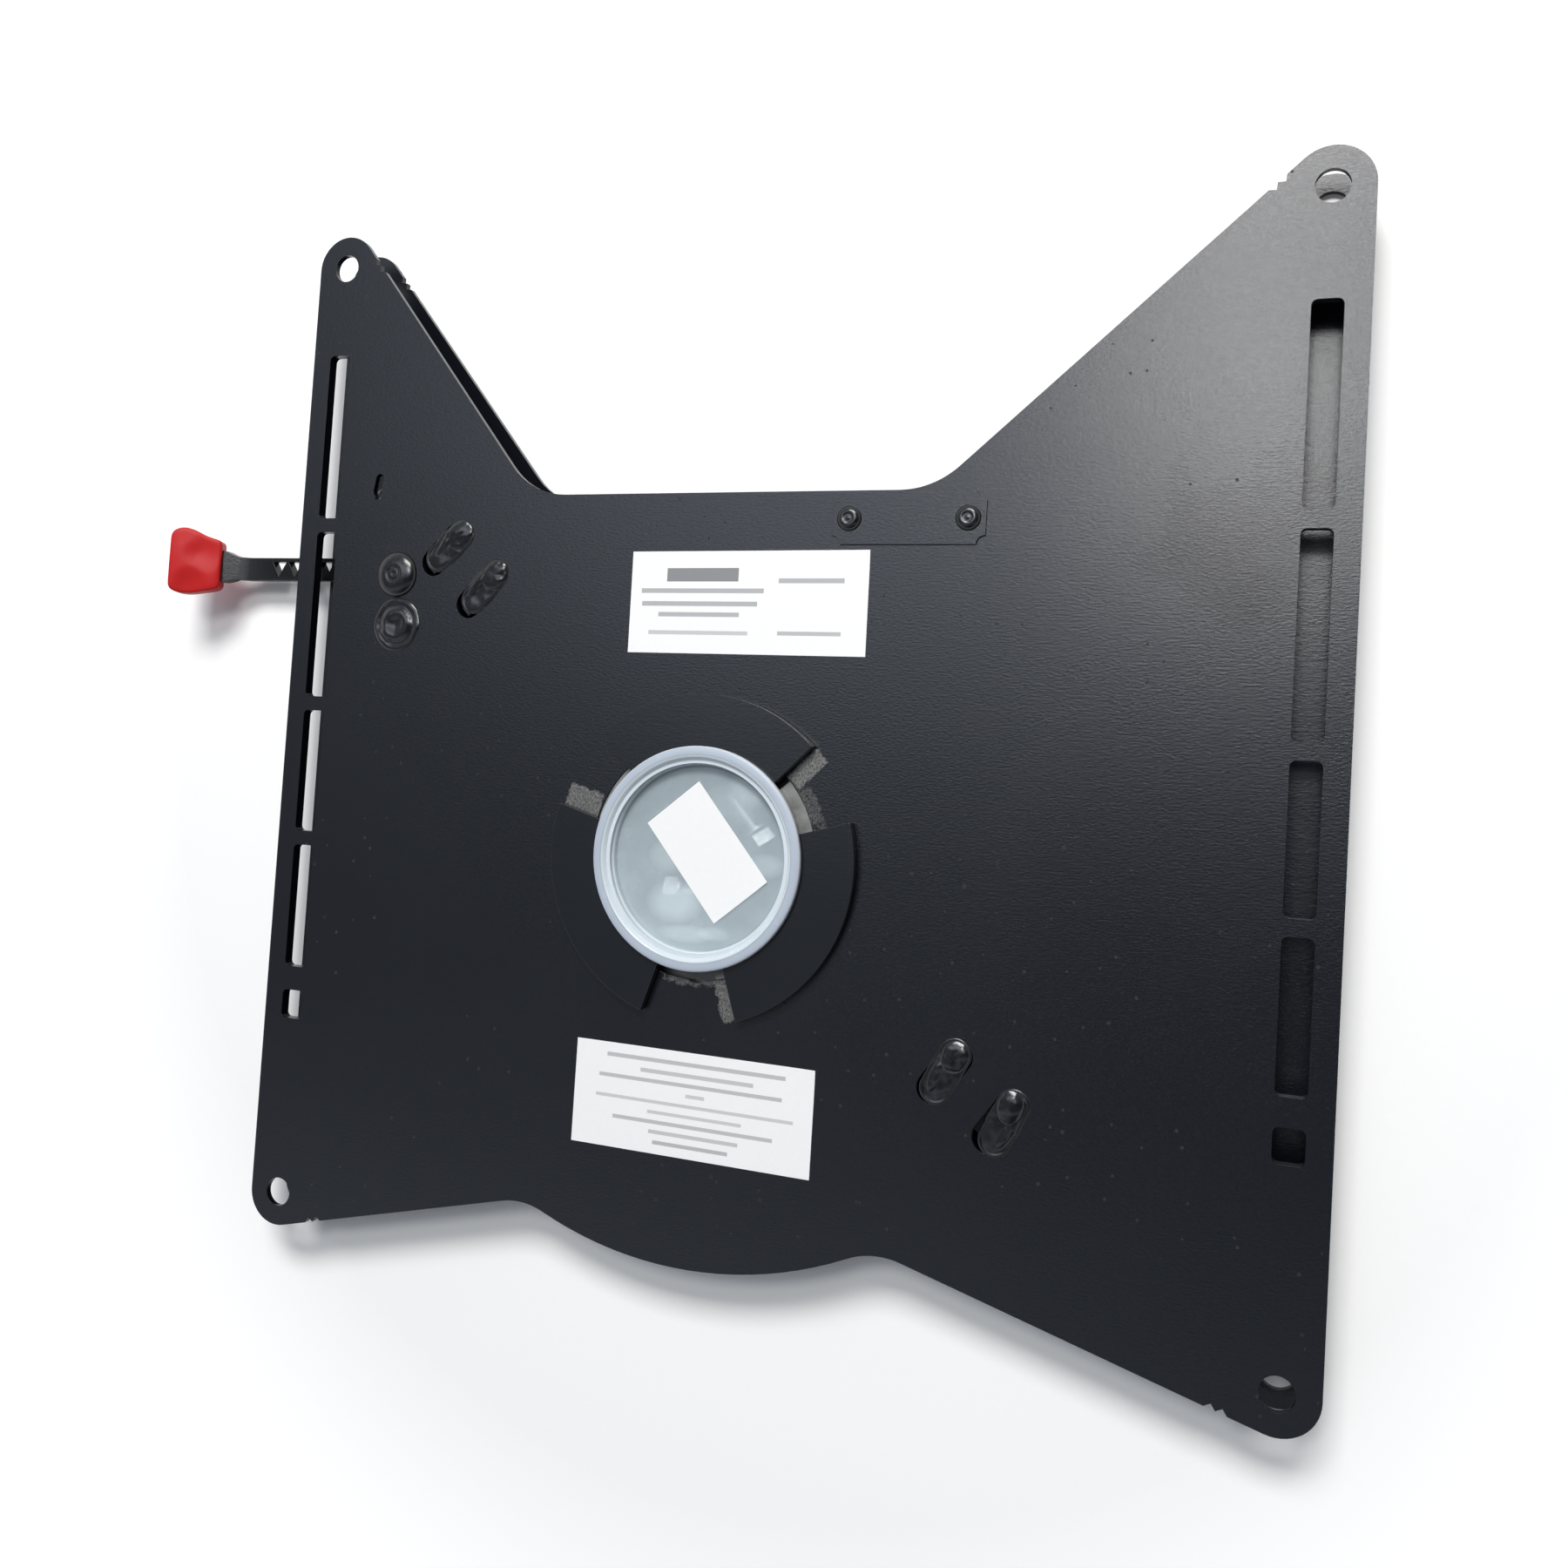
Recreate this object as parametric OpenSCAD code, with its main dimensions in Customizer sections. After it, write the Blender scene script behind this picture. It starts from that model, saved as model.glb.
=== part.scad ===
// Swivel seat base: two eared steel plates, the upper one turning on a hub fixed to the lower one,
// with a sprung lock pin drawn by a lever between the plates. Lies on its lower plate, +Z up.

/* [Plates] */
// Corner hole spacing across the base
hole_pitch_x = 411.5; // [300:0.5:600]
// Corner hole spacing front to rear
hole_pitch_y = 409.5; // [300:0.5:600]
// Thickness of each pressed plate
plate_t = 2.5; // [1.5:0.25:6]
// Clear height between the two plates
plates_gap = 18; // [17:0.5:40]
// Upper corner hole radius
upper_hole_r = 6; // [3:0.25:10]
// Lower corner hole radius
lower_hole_r = 6.5; // [3:0.25:10]
// Ear radius round an upper corner hole
upper_ear_r = 14.25; // [10:0.25:24]
// Ear radius round a lower corner hole
lower_ear_r = 13; // [10:0.25:24]
// Straight part of the hollow front edge, from the plate's centre
front_edge_y = 101; // [80:1:160]
// Left corner of the hollow front edge, from the plate's centre
front_left_x = 102.6; // [80:0.2:140]
// Right corner of the hollow front edge, from the plate's centre
front_right_x = 70.5; // [50:0.5:120]
// Radius in the corners of the hollow front edge
front_fillet_r = 34; // [10:1:60]
// Rise of the two rear edges from the ears, in degrees
rear_rise = 14.6; // [8:0.2:18]
// Radius of the round middle of the rear edge, about the hub
rear_round_r = 159.2; // [152:0.2:175]
// Radius where the round middle meets the rear edges
rear_fillet_r = 30; // [5:1:50]
// Width of each small nick in the edges beside the ears
nick_w = 4; // [2:0.1:6]
// Depth of each nick
nick_depth = 1.8; // [0.8:0.1:3]
// Distance of the front nicks from the ears' tangent points
front_nick_at = 7.5; // [4:0.1:12]
// Distance of the rear nicks from the ears' tangent points
rear_nick_at = 12.2; // [4:0.1:16]

/* [Bolt slots] */
// Distance of the slot rows from the plate's centre
slot_row_x = 205.8; // [150:0.1:300]
// Slot width
slot_w = 10.7; // [5:0.1:14]
// Slot corner radius
slot_corner_r = 2.2; // [0.5:0.1:5]
// Length of the two front slots of a row
long_slot = 73.3; // [40:0.1:75]
// Length of the two middle slots of a row
short_slot = 53.4; // [30:0.1:55]
// Length of the last slot of a row
end_slot = 12.3; // [8:0.1:20]
// Bar of metal left between long and short slots
slot_bar = 6.2; // [4:0.1:12]
// Bar of metal left before the last slot
last_bar = 10.3; // [6:0.1:20]
// Front end of each row, from the plate's centre
slot_front_y = 165.2; // [150:0.2:180]
// Thickness of the strip behind each slot row
doubler_t = 2; // [1:0.25:4]
// Width of the strip behind each slot row
doubler_w = 23; // [16:0.5:26]

/* [Hub] */
// Hub axis left of the plate's centre
hub_left = 15; // [0:0.5:40]
// Hub axis behind the plate's centre
hub_back = 44; // [20:0.5:60]
// Bore of the upper plate
bore_r = 48; // [46:0.25:58]
// Radius of the round relief at the bore's rear
relief_r = 5; // [3:0.5:8]
// Inside radius of the hub tube
hub_in_r = 39; // [36:0.25:40]
// Wall of the hub tube
hub_wall = 2.8; // [2:0.1:4]
// Outside radius of the retaining ring's lobes
lobe_r = 64.5; // [55:0.5:80]
// Sweep of each lobe in degrees
lobe_sweep = 88; // [60:1:94]
// Thickness of the retaining ring
ring_t = 4; // [2:0.25:6]
// Clearance between the retaining ring and the turning plate
ring_gap = 0.5; // [0.3:0.1:1]
// Radius of the lock disc
disc_r = 112; // [90:0.5:118]
// Thickness of the lock disc
disc_t = 5; // [3:0.5:6]
// Radius of the carrier ring under the slide pads
carrier_r = 66; // [60:0.5:75]
// Thickness of the slide pads' flange
pad_flange_t = 2; // [1.5:0.25:3]
// Sweep of each slide pad in degrees
pad_sweep = 121; // [60:1:170]
// Running clearance between turning and fixed pieces
run_gap = 0.3; // [0.3:0.05:0.6]

/* [Lever] */
// Lever pivot left of the plate's centre
pivot_left = 167; // [150:0.5:180]
// Lever pivot in front of the plate's centre
pivot_front = 67; // [55:0.5:75]
// Distance of the bar's centre line in front of the pivot
bar_offset = 3.4; // [0:0.2:6]
// Width of the lever's bar
bar_w = 10.4; // [8:0.2:13]
// Thickness of the lever's bar
bar_t = 4; // [3:0.25:5]
// Distance of the bend from the plate's centre
bend_left = 257; // [235:1:275]
// Upward bend of the lever's end in degrees
bend_deg = 28; // [0:1:35]
// Side of the triangular holes along the bar
tri_side = 7.6; // [4:0.2:8]
// Distance between the triangular holes
tri_pitch = 8.9; // [8.2:0.1:14]
// Number of triangular holes
tri_count = 4; // [1:1:5]
// Length of the grip along the lever
grip_l = 24; // [18:0.5:40]
// Width of the grip's outer end
grip_w = 30; // [24:0.5:40]
// Thickness of the grip
grip_t = 10; // [9:0.5:18]
// Radius of the pivot rivet's dome
dome_r = 9.8; // [8:0.2:14]
// Radius of the pivot rivet's shank
shank_r = 5; // [3:0.25:6]

/* [Lock pin] */
// Radius of the lock pin
pin_r = 5; // [3.5:0.25:5.5]
// Distance between the pin's two guides
guide_pitch = 26; // [18:0.5:32]
// Clearance of the outer pin guide from the lever's arm
arm_gap = 1.1; // [0.8:0.1:3]
// Thickness of the pin guides
guide_t = 5; // [3:0.5:6]
// Width of the pin guides
guide_w = 24; // [16:0.5:26]
// Clearance of the drawn pin's tip from the lock disc
tip_gap = 0.6; // [0.3:0.1:2]
// Height of the pin and lever above the lower plate
lock_rise = 8.5; // [8:0.25:12]
// Radius of the cross pin in the fork
cross_r = 2; // [1.5:0.25:2.5]

/* [Glide bracket] */
// Direction of the glide bracket from the hub axis, in degrees
glide_deg = -34.5; // [-60:0.5:0]
// Distance of the bracket's inner web from the lock disc
glide_gap = 12; // [11:0.5:16]
// Distance between the bracket's webs
glide_span = 26; // [20:0.5:34]

/* [Welds and marks] */
// Length of a plug weld's slot
weld_l = 27; // [20:0.5:32]
// Width of a plug weld's slot
weld_w = 12; // [8:0.5:14]
// Height of the weld metal over the plate
weld_crown = 2; // [0.8:0.1:3]
// Radius of the round weld over the stop stud
stud_weld_r = 11; // [8:0.25:13]
// Length of the riveted blank plate
blank_l = 60; // [40:1:80]
// Width of the riveted blank plate
blank_w = 20; // [15:0.5:30]
// Thickness of the riveted blank plate
blank_t = 0.8; // [0.5:0.1:2]
// Length of each sticker
sticker_l = 100.5; // [60:0.5:120]
// Width of each sticker
sticker_w = 41; // [25:0.5:50]
// Thickness of each sticker
sticker_t = 0.2; // [0.1:0.05:0.4]

/* [Fixings tub] */
// Outside radius of the tub's lid
lid_r = 43.8; // [41:0.2:48]
// Clearance between the tub and the hub
tub_gap = 0.6; // [0.4:0.1:2]
// Wall of the tub
tub_wall = 1.2; // [0.8:0.1:2]
// Height of the lid over the retaining ring
lid_h = 3; // [2:0.25:6]
// Depth of the lid's middle under its rim
lid_dip = 6; // [3:0.25:9]
// Radius of the bolts packed in the tub
bolt_r = 5; // [3:0.5:5]
// Radius of those bolts' flanges
bolt_flange_r = 9; // [7:0.5:9]
// Length of those bolts under the head
bolt_l = 22; // [12:1:22]

/* [Hidden] */
hx = hole_pitch_x / 2;
hy = hole_pitch_y / 2;
hub = [-hub_left, -hub_back];
upper_z = plate_t + plates_gap;
face_z = upper_z + plate_t;
ring_z = face_z + ring_gap;
hub_r = hub_in_r + hub_wall;
annulus_r = hub_r;
lock_z = plate_t + lock_rise;
disc_z = lock_z - disc_t / 2;
carrier_z = disc_z + disc_t;
pad_z = upper_z - run_gap - pad_flange_t;
pad_wall_r = bore_r - run_gap;
pad_lip_r = hub_r + 2;
pad_flange_r = lobe_r - 0.5;
pivot = [-pivot_left, pivot_front];
pin_deg = 136.5;
pin_dir = [cos(pin_deg), sin(pin_deg)];
pin_side = [-sin(pin_deg), cos(pin_deg)];
pivot_along = (pivot - hub) * pin_dir;
pivot_aside = (pivot - hub) * pin_side;
fork_gap = 0.4;
fork_r = 6;
guide_out = pivot_along - fork_r - arm_gap - guide_t / 2;
guide_in = guide_out - guide_pitch;
glide_in = disc_r + glide_gap;
glide_out = glide_in + glide_span;
fork_tail = 10;
pin_tip = disc_r + tip_gap;
lever_bottom = lock_z - bar_t / 2;
lever_top = lock_z + bar_t / 2;
spacer_r = 9;
washer_t = 1.5;
stud = [pivot[0] + 1.7, pivot[1] - 21.8];
stud_r = 7;
boss_r = 12;
bar_y = pivot[1] + bar_offset;
tongue_l = 30;
tongue_up = bar_w / 2 + 2.6;
tongue_down = bar_w / 2 + 1.8;
// How far the grip starts from the bend, and how far it sits in front of the bar
grip_at = 14;
grip_aside = 0.8;
glide_dir = [cos(glide_deg), sin(glide_deg)];
glide_clear = 0.7;
web_l = 22;
web_t = 4;
shoe_h = 6;
shoe_w = web_l + 4;
shoe_l = glide_out - glide_in + 14;
blank_mid = [61.4, front_edge_y - 11];
blank_rivet_r = 4.7;
blank_rivet_x = blank_l / 2 - blank_rivet_r - 2.1;
upper_sticker = [-2.8, 57.1];
lower_sticker = [-13, -140.6];
tub_r = hub_in_r - tub_gap;
rim_z = ring_z + ring_t;
lid_top = rim_z + lid_h;
plug_r = tub_r - tub_wall - 0.1;
panel_z = lid_top - lid_dip;
// Places of the bolts in the tub in flange radii, and the way that each points
bolt_spots = [[-1.45, -1.76, 0], [-1.45, 0.34, 0], [2.22, 1, 135]];
bolt_flange_t = 0.18 * bolt_flange_r;
bolt_head_h = 0.67 * bolt_flange_r;
label_l = 48.5;
label_w = 27.8;
spring_x = -181.5;
spring_hook_y = 103;
spring_z = lever_top + 3.4;
spring_r = 2.6;
wire_r = 0.5;
coils = 13;
lobe_degs = [-27.5, 89.5, 208];

// Lengths of a slot row from the front, and each slot's middle
slots = [long_slot, long_slot, short_slot, short_slot, end_slot];
bars = [0, slot_bar, slot_bar, slot_bar, last_bar];
function slot_top(i) = i == 0 ? slot_front_y : slot_top(i - 1) - slots[i - 1] - bars[i];
function slot_mid(i) = slot_top(i) - slots[i] / 2;
slot_rear_y = slot_top(4) - end_slot;

// Angle of the line from a point p that touches a circle of radius r about c, on side s
function touch_deg(p, c, r, s) =
    atan2(c[1] - p[1], c[0] - p[0]) + s * asin(r / norm(c - p));
// Where a line from q in direction d first meets a circle of radius r about c
function meet(q, d, c, r) =
    let (b = d * (q - c), k = (q - c) * (q - c) - r * r)
    q + d * (-b - sqrt(b * b - k));
function aim(a) = [cos(a), sin(a)];
// Radius of an arch that rises so much over half its span
function arch_r(half, rise) = (half * half + rise * rise) / (2 * rise);

// Points of an arc about c from angle a to angle b
function arc(c, r, a, b, step) =
    let (n = max(2, ceil(abs(b - a) / step)))
    [for (i = [0:n]) c + r * aim(a + (b - a) * i / n)];
// Points of a pair of nicks in an edge, from p in direction d with the metal on the left
function nicks(p, d) =
    let (n = [-d[1], d[0]])
    [for (i = [0:4]) p + d * nick_w * i / 2 + (i % 2 == 1 ? nick_depth : 0) * n];

// Outline of a plate: ears on tangent edges, a hollow front edge and a round middle at the rear
function outline_points(ear) =
    let (
        fl = [-front_left_x, front_edge_y],
        fr = [front_right_x, front_edge_y],
        la = touch_deg(fl, [-hx, hy], ear, -1),
        ra = touch_deg(fr, [hx, hy], ear, 1),
        lt = [-hx, hy] + ear * aim(la - 90),
        rt = [hx, hy] + ear * aim(ra + 90),
        lq = [-hx, -hy] + ear * aim(rear_rise - 90),
        rq = [hx, -hy] + ear * aim(-90 - rear_rise),
        ld = aim(rear_rise),
        rd = aim(180 - rear_rise),
        far_r = rear_round_r + rear_fillet_r,
        lf = meet(lq + rear_fillet_r * aim(rear_rise - 90), ld, hub, far_r),
        rf = meet(rq + rear_fillet_r * aim(-90 - rear_rise), rd, hub, far_r),
        lv = atan2(lf[1] - hub[1], lf[0] - hub[0]) + 360,
        rv = atan2(rf[1] - hub[1], rf[0] - hub[0]) + 360,
        tl = front_fillet_r / tan(la / 2),
        tr = front_fillet_r / tan((180 - ra) / 2),
        lc = fl + [tl, front_fillet_r],
        rc = fr + [-tr, front_fillet_r]
    )
    concat(
        arc([-hx, -hy], ear, 180, 270 + rear_rise, 8),
        nicks(lq + rear_nick_at * ld, ld),
        arc(lf, rear_fillet_r, 90 + rear_rise, lv - 180, 5),
        arc(hub, rear_round_r, lv, rv, 2.5),
        arc(rf, rear_fillet_r, rv - 180, 90 - rear_rise, 5),
        nicks(rq + (rear_nick_at + 2 * nick_w) * rd, -rd),
        arc([hx, -hy], ear, 270 - rear_rise, 360, 8),
        arc([hx, hy], ear, 0, ra + 90, 8),
        nicks(rt - front_nick_at * aim(ra), -aim(ra)),
        arc(rc, front_fillet_r, ra - 90, -90, 5),
        arc(lc, front_fillet_r, -90, la - 270, 5),
        nicks(lt - (front_nick_at + 2 * nick_w) * aim(la), aim(la)),
        arc([-hx, hy], ear, la - 90, 180, 8)
    );

module plate_outline(ear) {
    polygon(outline_points(ear));
}

module corner_holes(r) {
    for (x = [-hx, hx])
        for (y = [-hy, hy])
            translate([x, y])
                circle(r = r, $fn = 48);
}

module rounded_box(w, l, r) {
    square([w - 2 * r, l], center = true);
    square([w, l - 2 * r], center = true);
    for (x = [-1, 1])
        for (y = [-1, 1])
            translate([x * (w / 2 - r), y * (l / 2 - r)])
                circle(r = r, $fn = 24);
}

// One row of slots at the given side, 1 right and -1 left
module slot_row(side) {
    for (i = [0:4])
        translate([side * slot_row_x, slot_mid(i)])
            rounded_box(slot_w, slots[i], slot_corner_r);
}

module stadium(l, w) {
    square([l - w, w], center = true);
    for (x = [-1, 1])
        translate([x * (l - w) / 2, 0])
            circle(r = w / 2, $fn = 36);
}

// Sector of a flat ring between two radii, centred on angle a
module ring_sector(ri, ro, sweep, a) {
    difference() {
        circle(r = ro, $fn = 120);
        circle(r = ri, $fn = 120);
        rotate(a)
            far_side(sweep, ro + 5);
    }
}

// All but a wedge of the given sweep about +X
module far_side(sweep, r) {
    h = sweep / 2;
    polygon([[0, 0], 2 * r * aim(h), 3 * r * aim(120), -3 * r * [1, 0], 3 * r * aim(-120),
        2 * r * aim(-h)]);
}

module at_hub(z) {
    translate([hub[0], hub[1], z])
        children();
}

// Frame at distance d from the hub axis in direction a
module at_polar(a, d, z) {
    translate([hub[0] + d * cos(a), hub[1] + d * sin(a), z])
        rotate(a)
            children();
}

// Places of the four plug welds: distance from the hub, direction and turn of the slot
weld_spots = [[guide_out, pin_deg], [guide_in, pin_deg], [glide_in, glide_deg],
    [glide_out, glide_deg]];

module weld_slots(grow) {
    for (s = weld_spots)
        at_polar(s[1], s[0], 0)
            rotate(90)
                stadium(weld_l + 2 * grow, weld_w + 2 * grow);
}

module lower_plate() {
    color([0.13, 0.14, 0.16])
        linear_extrude(plate_t)
            difference() {
                plate_outline(lower_ear_r);
                corner_holes(lower_hole_r);
                translate(hub)
                    circle(r = hub_in_r, $fn = 120);
            }
}

module hub_tube() {
    color([0.55, 0.56, 0.58])
        at_hub(plate_t)
            difference() {
                cylinder(r = hub_r, h = ring_z - plate_t, $fn = 120);
                translate([0, 0, -1])
                    cylinder(r = hub_in_r, h = ring_z - plate_t + 2, $fn = 120);
            }
}

module flat_ring(ri, ro, t) {
    linear_extrude(t)
        difference() {
            circle(r = ro, $fn = 120);
            circle(r = ri, $fn = 120);
        }
}

module disc_spacer() {
    color([0.3, 0.31, 0.33])
        at_hub(plate_t)
            flat_ring(hub_r, carrier_r - 8, disc_z - plate_t);
}

// Disc with a flared notch for the lock pin each quarter turn
module lock_disc() {
    color([0.33, 0.34, 0.36])
        at_hub(disc_z)
            linear_extrude(disc_t)
                difference() {
                    circle(r = disc_r, $fn = 180);
                    circle(r = hub_r, $fn = 120);
                    for (a = [0:90:270])
                        rotate(pin_deg + a)
                            polygon([[disc_r - 9, -pin_r - 0.3], [disc_r - 1.5, -pin_r - 0.6],
                                [disc_r + 2, -pin_r - 2.5], [disc_r + 2, pin_r + 2.5],
                                [disc_r - 1.5, pin_r + 0.6], [disc_r - 9, pin_r + 0.3]]);
                }
}

module carrier_ring() {
    color([0.36, 0.37, 0.39])
        at_hub(carrier_z)
            flat_ring(hub_r, carrier_r, pad_z - carrier_z);
}

// Slide pad: a flange under the turning plate, a wall in its bore and a lip round the hub
module slide_pad(a) {
    top = face_z - pad_z;
    color([0.68, 0.69, 0.67])
        at_hub(pad_z)
            rotate(a - pad_sweep / 2)
                rotate_extrude(angle = pad_sweep, $fn = 120)
                    polygon([[hub_r, 0], [pad_flange_r, 0], [pad_flange_r, pad_flange_t],
                        [pad_wall_r, pad_flange_t], [pad_wall_r, top - 0.2],
                        [pad_lip_r, top - 0.2], [pad_lip_r, top + 0.2], [hub_r, top + 0.2]]);
}

module slide_pad_right() {
    slide_pad(-18);
}

module slide_pad_left() {
    slide_pad(162);
}

// Three lobes on a narrow ring seated on the hub tube
module retaining_ring() {
    color([0.15, 0.16, 0.18])
        at_hub(ring_z)
            linear_extrude(ring_t) {
                difference() {
                    circle(r = annulus_r, $fn = 120);
                    circle(r = hub_in_r, $fn = 120);
                }
                for (a = lobe_degs)
                    ring_sector(hub_in_r, lobe_r, lobe_sweep, a);
            }
}

module tub_body() {
    floor_r = tub_r - 2;
    color([0.86, 0.89, 0.93])
        at_hub(0)
            rotate_extrude($fn = 96)
                polygon([[0, 1], [floor_r - 1, 1], [floor_r, 2], [tub_r, rim_z - 0.4],
                    [tub_r, rim_z], [lid_r - 1.2, rim_z], [lid_r - 1.2, rim_z + 1],
                    [tub_r - tub_wall, rim_z + 1], [tub_r - tub_wall, rim_z - 0.6],
                    [floor_r - tub_wall, 2 + tub_wall], [floor_r - tub_wall - 1, 1 + tub_wall],
                    [0, 1 + tub_wall]]);
}

// Snap-on lid: skirt and flat rim outside, sloping wall down to a sunk middle
module tub_lid() {
    color([0.84, 0.88, 0.94])
        at_hub(0)
            rotate_extrude($fn = 96)
                polygon([[0, panel_z - 1], [plug_r - 0.4, panel_z - 1], [plug_r, rim_z + 1.1],
                    [lid_r - 1.1, rim_z + 1.1], [lid_r - 1.1, rim_z + 0.1], [lid_r, rim_z + 0.1],
                    [lid_r, lid_top - 0.6], [lid_r - 0.6, lid_top], [plug_r + 2.4, lid_top],
                    [plug_r + 1.9, lid_top - 0.3], [plug_r - 1, rim_z], [plug_r - 1.4, panel_z],
                    [0, panel_z]]);
}

module tub_sticker() {
    color([0.95, 0.95, 0.95])
        translate([hub[0] + 3, hub[1] + 2.5, panel_z])
            rotate(-49.8)
                linear_extrude(sticker_t)
                    square([label_l, label_w], center = true);
}

// Bolts lying in the tub on their flanges and tips, seen only through its lid
module fixing_bolts() {
    lean = atan((bolt_flange_r - bolt_r) / bolt_l);
    color([0.75, 0.76, 0.78])
        at_hub(1 + tub_wall)
            for (b = bolt_spots)
                translate([b[0], b[1], cos(lean)] * bolt_flange_r)
                    rotate([0, 0, b[2]])
                        rotate([0, 90 + lean, 0]) {
                            cylinder(r = bolt_r, h = bolt_l, $fn = 32);
                            cylinder(r = bolt_flange_r, h = bolt_flange_t, $fn = 48);
                            translate([0, 0, -bolt_head_h])
                                cylinder(r = bolt_flange_r - 1, h = bolt_head_h, $fn = 6);
                        }
}

// Washers lying in a stack beside the bolts
module fixing_washers() {
    color([0.75, 0.76, 0.78])
        at_hub(1 + tub_wall)
            for (i = [0:2])
                translate([2 * bolt_flange_r, -1.78 * bolt_flange_r, (washer_t + 0.1) * i])
                    sleeve(bolt_r + 0.4, bolt_flange_r, washer_t);
}

module upper_plate() {
    color([0.14, 0.15, 0.17])
        translate([0, 0, upper_z])
            linear_extrude(plate_t)
                difference() {
                    plate_outline(upper_ear_r);
                    corner_holes(upper_hole_r);
                    slot_row(-1);
                    slot_row(1);
                    translate(hub) {
                        circle(r = bore_r, $fn = 120);
                        rotate(-88.5)
                            translate([bore_r - 4, 0])
                                circle(r = relief_r, $fn = 36);
                    }
                    weld_slots(0);
                    translate(stud)
                        circle(r = stud_weld_r, $fn = 48);
                    translate(pivot)
                        circle(r = shank_r, $fn = 36);
                    spring_slot();
                }
}

// Narrow slot that the spring's upper hook is threaded through
module spring_slot() {
    translate([spring_x + 1.3, spring_hook_y + 3.4])
        rotate(80)
            stadium(10, 4);
    translate([spring_x + 1.3, spring_hook_y - 0.4])
        square([2.8, 5], center = true);
}

module doubler(side) {
    color([0.12, 0.13, 0.14])
        translate([0, 0, upper_z - doubler_t])
            linear_extrude(doubler_t)
                difference() {
                    translate([side * slot_row_x, (slot_front_y + slot_rear_y) / 2])
                        rounded_box(doubler_w, slot_front_y - slot_rear_y + 14, 6);
                    slot_row(side);
                }
}

module doubler_left() {
    doubler(-1);
}

module doubler_right() {
    doubler(1);
}

// Upright plate across the pin, bored for it and plug welded to the turning plate
module guide(d) {
    color([0.2, 0.21, 0.23])
        at_polar(pin_deg, d, 0)
            difference() {
                translate([-guide_t / 2, -guide_w / 2, lock_z - pin_r - 2])
                    cube([guide_t, guide_w, upper_z - lock_z + pin_r + 2]);
                translate([-guide_t, 0, lock_z])
                    rotate([0, 90, 0])
                        cylinder(r = pin_r + 0.1, h = 2 * guide_t, $fn = 48);
            }
}

module pin_guide_inner() {
    guide(guide_in);
}

module pin_guide_outer() {
    guide(guide_out);
}

// Web of the glide bracket, plug welded to the turning plate
module glide_web(d) {
    z = plate_t + glide_clear + shoe_h - 3;
    color([0.2, 0.21, 0.23])
        at_polar(glide_deg, d, 0)
            translate([-web_t / 2, -web_l / 2, z])
                cube([web_t, web_l, upper_z - z]);
}

module glide_web_inner() {
    glide_web(glide_in);
}

module glide_web_outer() {
    glide_web(glide_out);
}

// Plastic shoe pressed on the two webs, just over the lower plate
module glide_shoe() {
    z = plate_t + glide_clear;
    color([0.62, 0.63, 0.61])
        at_polar(glide_deg, (glide_in + glide_out) / 2, z)
            difference() {
                linear_extrude(shoe_h)
                    rounded_box(shoe_l, shoe_w, 4);
                for (x = [-1, 1])
                    translate([x * glide_span / 2, 0, shoe_h - 1])
                        cube([web_t, web_l, 4], center = true);
            }
}

// Weld metal filling each slot over its web, with a crown arched both ways
module plug_welds() {
    color([0.16, 0.17, 0.19])
        for (s = weld_spots)
            at_polar(s[1], s[0], upper_z)
                rotate(90) {
                    linear_extrude(plate_t)
                        stadium(weld_l, weld_w);
                    translate([0, 0, plate_t])
                        weld_bead(weld_l - 2, weld_w - 2);
                }
}

module weld_bead(l, w) {
    arch = weld_crown - 0.4;
    along_r = arch_r(l / 2, arch);
    across_r = arch_r(w / 2, arch);
    intersection() {
        linear_extrude(weld_crown)
            stadium(l, w);
        translate([0, 0, weld_crown - across_r])
            rotate([0, 90, 0])
                cylinder(r = across_r, h = 2 * l, center = true, $fn = 120);
        translate([0, 0, weld_crown - along_r])
            rotate([90, 0, 0])
                cylinder(r = along_r, h = 2 * w, center = true, $fn = 360);
    }
}

module stop_stud() {
    color([0.2, 0.21, 0.23])
        translate([stud[0], stud[1], 0])
            rotate_extrude($fn = 48)
                polygon([[0, lever_bottom - 3], [stud_r - 1, lever_bottom - 3],
                    [stud_r, lever_bottom - 2], [stud_r, upper_z - 3], [stud_r + 2, upper_z - 3],
                    [stud_r + 2, upper_z], [0, upper_z]]);
}

module stud_weld() {
    color([0.16, 0.17, 0.19])
        translate([stud[0], stud[1], upper_z])
            rotate_extrude($fn = 72)
                polygon([[0, 0], [stud_weld_r, 0], [stud_weld_r, plate_t + 0.3],
                    [stud_weld_r - 1.5, plate_t + 0.9], [stud_weld_r - 3, plate_t + 0.4],
                    [stud_weld_r - 4.5, plate_t + 1], [2, plate_t + 0.7],
                    [0, plate_t + 0.5]]);
}

// Rivet that the lever turns on: dome with a small flat on top, shank and upset foot
module pivot_rivet() {
    foot = lever_bottom - run_gap - washer_t;
    color([0.17, 0.18, 0.2])
        translate([pivot[0], pivot[1], 0])
            rotate_extrude($fn = 72)
                polygon([[0, foot - 1.6], [5.5, foot - 1.6], [7, foot - 0.8], [7, foot],
                    [shank_r, foot], [shank_r, face_z], [dome_r, face_z],
                    [dome_r - 0.4, face_z + 0.9], [dome_r - 2, face_z + 1.9],
                    [dome_r - 4.4, face_z + 2.7], [3.9, face_z + 3], [3.6, face_z + 3.3],
                    [0, face_z + 3.3]]);
}

module sleeve(ri, ro, h) {
    difference() {
        cylinder(r = ro, h = h, $fn = 48);
        translate([0, 0, -1])
            cylinder(r = ri, h = h + 2, $fn = 48);
    }
}

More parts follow.
